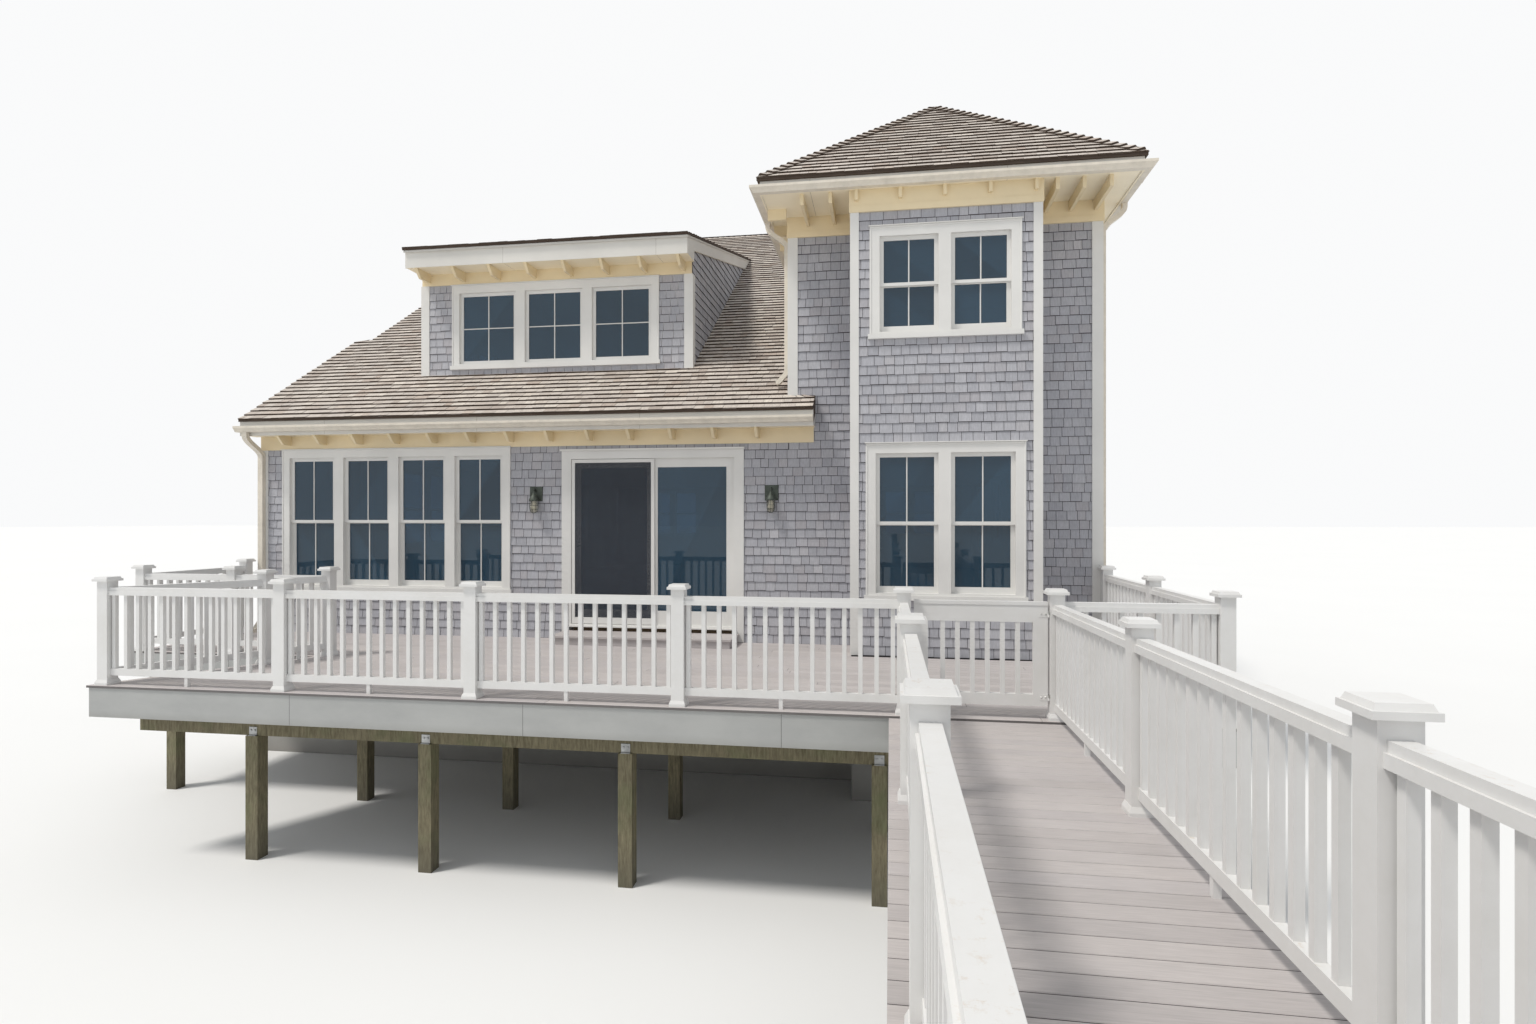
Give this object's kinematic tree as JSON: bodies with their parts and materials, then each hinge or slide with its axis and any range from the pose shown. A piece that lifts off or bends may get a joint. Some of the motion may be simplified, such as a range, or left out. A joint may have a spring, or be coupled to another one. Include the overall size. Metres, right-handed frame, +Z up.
{
  "type": "beach house",
  "caption": "Shingled beach house with a gabled main wing, shed dormer, hip-roofed corner tower with a box bay, raised railed deck, and a boardwalk with a gate.",
  "frame": {"origin": "at ground level, on the outer face of the front wall, half way along the house, in the plane of the underside of the foundation", "axes": "+X along the front wall to the right as seen from the front, +Y from the front into the house, +Z up"},
  "size_m": [12.773, 28.068, 10.192],
  "materials": {
    "wall_shingles": "weathered shingles, matt",
    "foundation": "cast concrete, matt",
    "floor_wood": "plain boards, satin",
    "roof_shingles": "roof shingles, matt",
    "trim_paint": "white paint, satin",
    "gutter_metal": "white enamel, satin",
    "window_glass": "clear glass with a dark room behind",
    "door_glass": "clear glass with a dark room behind",
    "screen_fabric": "fine dark insect mesh",
    "lantern_metal": "dark enamel, satin",
    "deck_planks": "weathered decking, matt",
    "frame_timber": "treated timber, matt",
    "rail_vinyl": "white vinyl, satin",
    "hinge_steel": "satin"
  },
  "bodies": {
    "house": {"foundation_walls": "foundation", "main_floor": "floor_wood", "upper_floor": "floor_wood", "front_wall_left": "wall_shingles", "front_wall_over_door": "wall_shingles", "front_wall_right": "wall_shingles", "left_wall": "wall_shingles", "right_wall": "wall_shingles", "back_wall": "wall_shingles", "tower_front_wall": "wall_shingles", "tower_side_walls": "wall_shingles", "tower_back_wall": "wall_shingles", "bay_front_wall": "wall_shingles", "bay_side_walls": "wall_shingles", "main_roof_front": "roof_shingles", "main_roof_back": "roof_shingles", "roof_caps": "roof_shingles", "tower_roof": "roof_shingles", "dormer_front_wall": "wall_shingles", "dormer_cheeks": "wall_shingles", "dormer_roof": "roof_shingles", "eave_boards": "trim_paint", "rafter_tails": "trim_paint", "gutters": "gutter_metal", "downspouts": "gutter_metal", "corner_boards": "trim_paint", "frieze_boards": "trim_paint", "front_windows": "trim_paint", "dormer_windows": "trim_paint", "bay_windows": "trim_paint", "side_and_back_windows": "trim_paint", "ground_floor_glass": "window_glass", "upper_floor_glass": "window_glass", "patio_door_frame": "trim_paint", "patio_fixed_panel": "trim_paint", "door_step": "deck_planks", "wall_lanterns": "lantern_metal", "deck_boards": "deck_planks", "deck_frame": "frame_timber", "deck_fascia": "rail_vinyl", "timber_piles": "frame_timber", "rail_posts": "rail_vinyl", "deck_railings": "rail_vinyl", "boardwalk_boards": "deck_planks", "boardwalk_frame": "frame_timber", "boardwalk_railings": "rail_vinyl", "gate_hinge_brackets": "hinge_steel"},
    "gate": {"gate": "rail_vinyl"},
    "sliding_door": {"sliding_door_panel": "trim_paint", "sliding_door_glass": "door_glass"},
    "screen": {"screen_frame": "trim_paint", "screen_mesh": "screen_fabric"}
  },
  "joints": [
    {"name": "gate_swing", "type": "hinge", "parent": "house", "child": "gate", "pos_m": [4.728, -3.7315, 2.4], "axis": [0, 0, 1], "range_deg": [0, 90]},
    {"name": "sliding_door_slide", "type": "slide", "parent": "house", "child": "sliding_door", "axis": [1, 0, 0], "range_m": [0, 1.05]},
    {"name": "screen_slide", "type": "slide", "parent": "house", "child": "screen", "axis": [1, 0, 0], "range_m": [0, 1.05]}
  ]
}
